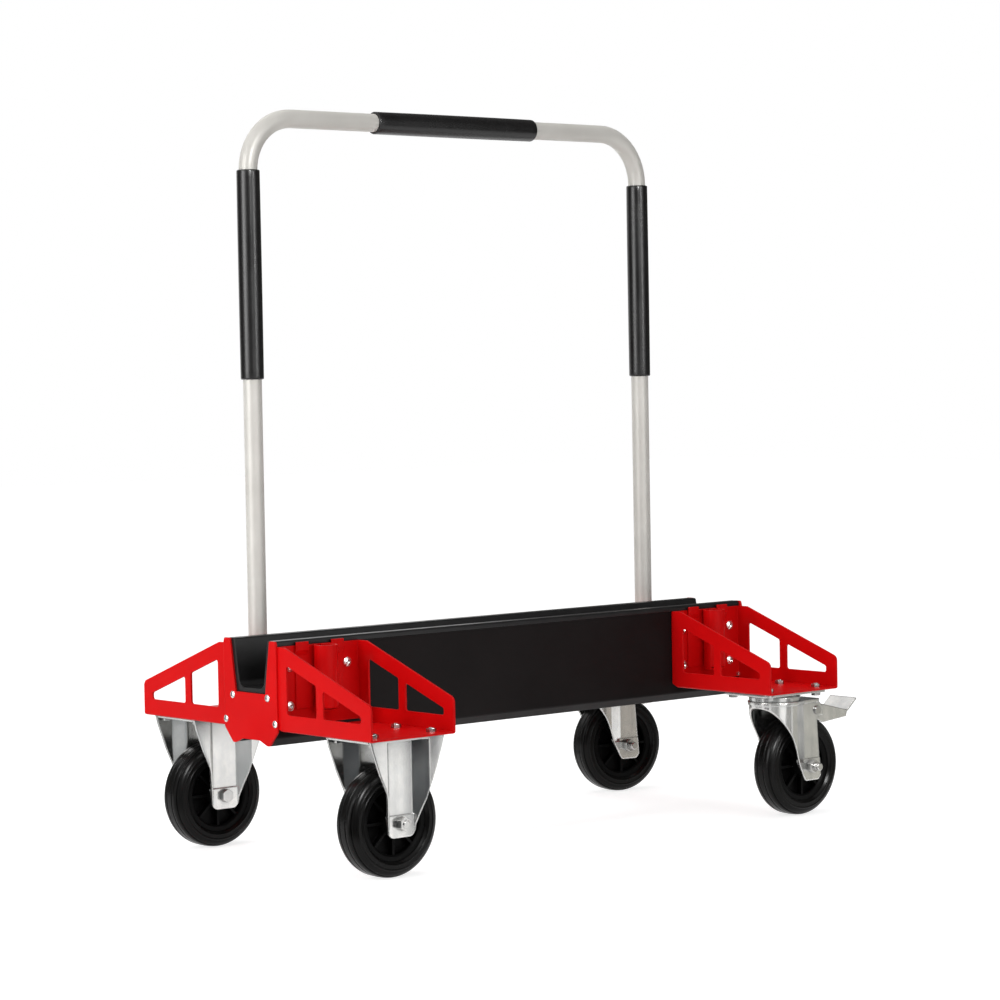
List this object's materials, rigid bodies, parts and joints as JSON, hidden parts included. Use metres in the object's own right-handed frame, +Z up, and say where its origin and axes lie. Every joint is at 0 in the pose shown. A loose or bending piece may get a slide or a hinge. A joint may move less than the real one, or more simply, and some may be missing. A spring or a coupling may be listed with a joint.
{
  "type": "tile trolley",
  "caption": "Low castered trolley with a rubber-lined trough for upright tiles or panels, folded corner brackets, braked swivel casters and a lift-out push handle.",
  "frame": {"origin": "on the ground, under the middle of the whole trolley with its brake pedals", "axes": "+X along the trough towards the braked swivel casters, +Y across it towards the handle, +Z up"},
  "size_m": [1.037, 0.556, 1.1176],
  "materials": {
    "red_paint": "semi-gloss powder coat",
    "black_paint": "satin powder coat",
    "rubber_liner": "satin moulded rubber",
    "aluminium_tube": "satin anodised",
    "foam_grip": "smooth closed-cell foam",
    "zinc_sheet": "bright zinc plate",
    "zinc_fasteners": "bright zinc plate",
    "wheel_rubber": "moulded solid rubber",
    "hub_plastic": "satin moulded plastic"
  },
  "bodies": {
    "chassis": {"end_plate_left": "red_paint", "end_plate_right": "red_paint", "corner_bracket_front_left": "red_paint", "tube_socket_front_left": "red_paint", "corner_bracket_front_right": "red_paint", "tube_socket_front_right": "red_paint", "corner_bracket_rear_left": "red_paint", "tube_socket_rear_left": "red_paint", "corner_bracket_rear_right": "red_paint", "tube_socket_rear_right": "red_paint", "trough_channel": "black_paint", "side_wall_front": "black_paint", "side_wall_rear": "black_paint", "end_bulkhead_left": "black_paint", "end_bulkhead_right": "black_paint", "trough_liner": "rubber_liner", "end_plate_screws": "zinc_fasteners", "bracket_screws": "zinc_fasteners", "bracket_rivet_nuts": "zinc_fasteners", "caster_bolts": "zinc_fasteners", "caster_nuts": "zinc_fasteners", "fixed_fork_front": "zinc_sheet", "swivel_plate_front": "zinc_sheet", "fixed_axle_front": "zinc_fasteners", "king_pin_front": "zinc_fasteners", "fixed_axle_tube_front": "zinc_fasteners", "fixed_fork_rear": "zinc_sheet", "swivel_plate_rear": "zinc_sheet", "fixed_axle_rear": "zinc_fasteners", "king_pin_rear": "zinc_fasteners", "fixed_axle_tube_rear": "zinc_fasteners"},
    "handle": {"handle_tube": "aluminium_tube", "grip_left": "foam_grip", "grip_right": "foam_grip", "grip_top": "foam_grip"},
    "swivel_front": {"race_ring_front": "zinc_sheet", "swivel_fork_front": "zinc_sheet", "pedal_pin_front": "zinc_fasteners", "swivel_axle_front": "zinc_fasteners", "swivel_axle_tube_front": "zinc_fasteners"},
    "pedal_front": {"brake_pedal_front": "zinc_sheet", "brake_shoe_front": "wheel_rubber"},
    "wheel_front_left": {"wheel_hub_front_left": "hub_plastic", "tyre_front_left": "wheel_rubber"},
    "wheel_front_right": {"wheel_hub_front_right": "hub_plastic", "tyre_front_right": "wheel_rubber"},
    "swivel_rear": {"race_ring_rear": "zinc_sheet", "swivel_fork_rear": "zinc_sheet", "pedal_pin_rear": "zinc_fasteners", "swivel_axle_rear": "zinc_fasteners", "swivel_axle_tube_rear": "zinc_fasteners"},
    "pedal_rear": {"brake_pedal_rear": "zinc_sheet", "brake_shoe_rear": "wheel_rubber"},
    "wheel_rear_left": {"wheel_hub_rear_left": "hub_plastic", "tyre_rear_left": "wheel_rubber"},
    "wheel_rear_right": {"wheel_hub_rear_right": "hub_plastic", "tyre_rear_right": "wheel_rubber"}
  },
  "joints": [
    {"name": "handle_lift", "type": "slide", "parent": "chassis", "child": "handle", "axis": [0, 0, 1], "range_m": [0, 0.1]},
    {"name": "wheel_spin_front_left", "type": "hinge", "parent": "chassis", "child": "wheel_front_left", "pos_m": [-0.4359, -0.213, 0.08], "axis": [0, 1, 0], "continuous": true},
    {"name": "swivel_turn_front", "type": "hinge", "parent": "chassis", "child": "swivel_front", "pos_m": [0.3561, -0.213, 0.19], "axis": [0, 0, 1], "continuous": true},
    {"name": "wheel_spin_front_right", "type": "hinge", "parent": "swivel_front", "child": "wheel_front_right", "pos_m": [0.4011, -0.213, 0.08], "axis": [0, 1, 0], "continuous": true},
    {"name": "pedal_press_front", "type": "hinge", "parent": "swivel_front", "child": "pedal_front", "pos_m": [0.4181, -0.213, 0.168], "axis": [0, 1, 0], "range_deg": [0, 12]},
    {"name": "wheel_spin_rear_left", "type": "hinge", "parent": "chassis", "child": "wheel_rear_left", "pos_m": [-0.4359, 0.213, 0.08], "axis": [0, 1, 0], "continuous": true},
    {"name": "swivel_turn_rear", "type": "hinge", "parent": "chassis", "child": "swivel_rear", "pos_m": [0.3561, 0.213, 0.19], "axis": [0, 0, 1], "continuous": true},
    {"name": "wheel_spin_rear_right", "type": "hinge", "parent": "swivel_rear", "child": "wheel_rear_right", "pos_m": [0.40055, 0.20596, 0.08], "axis": [0.1564, 0.9877, 0], "continuous": true},
    {"name": "pedal_press_rear", "type": "hinge", "parent": "swivel_rear", "child": "pedal_rear", "pos_m": [0.41734, 0.2033, 0.168], "axis": [0.1564, 0.9877, 0], "range_deg": [0, 12]}
  ]
}
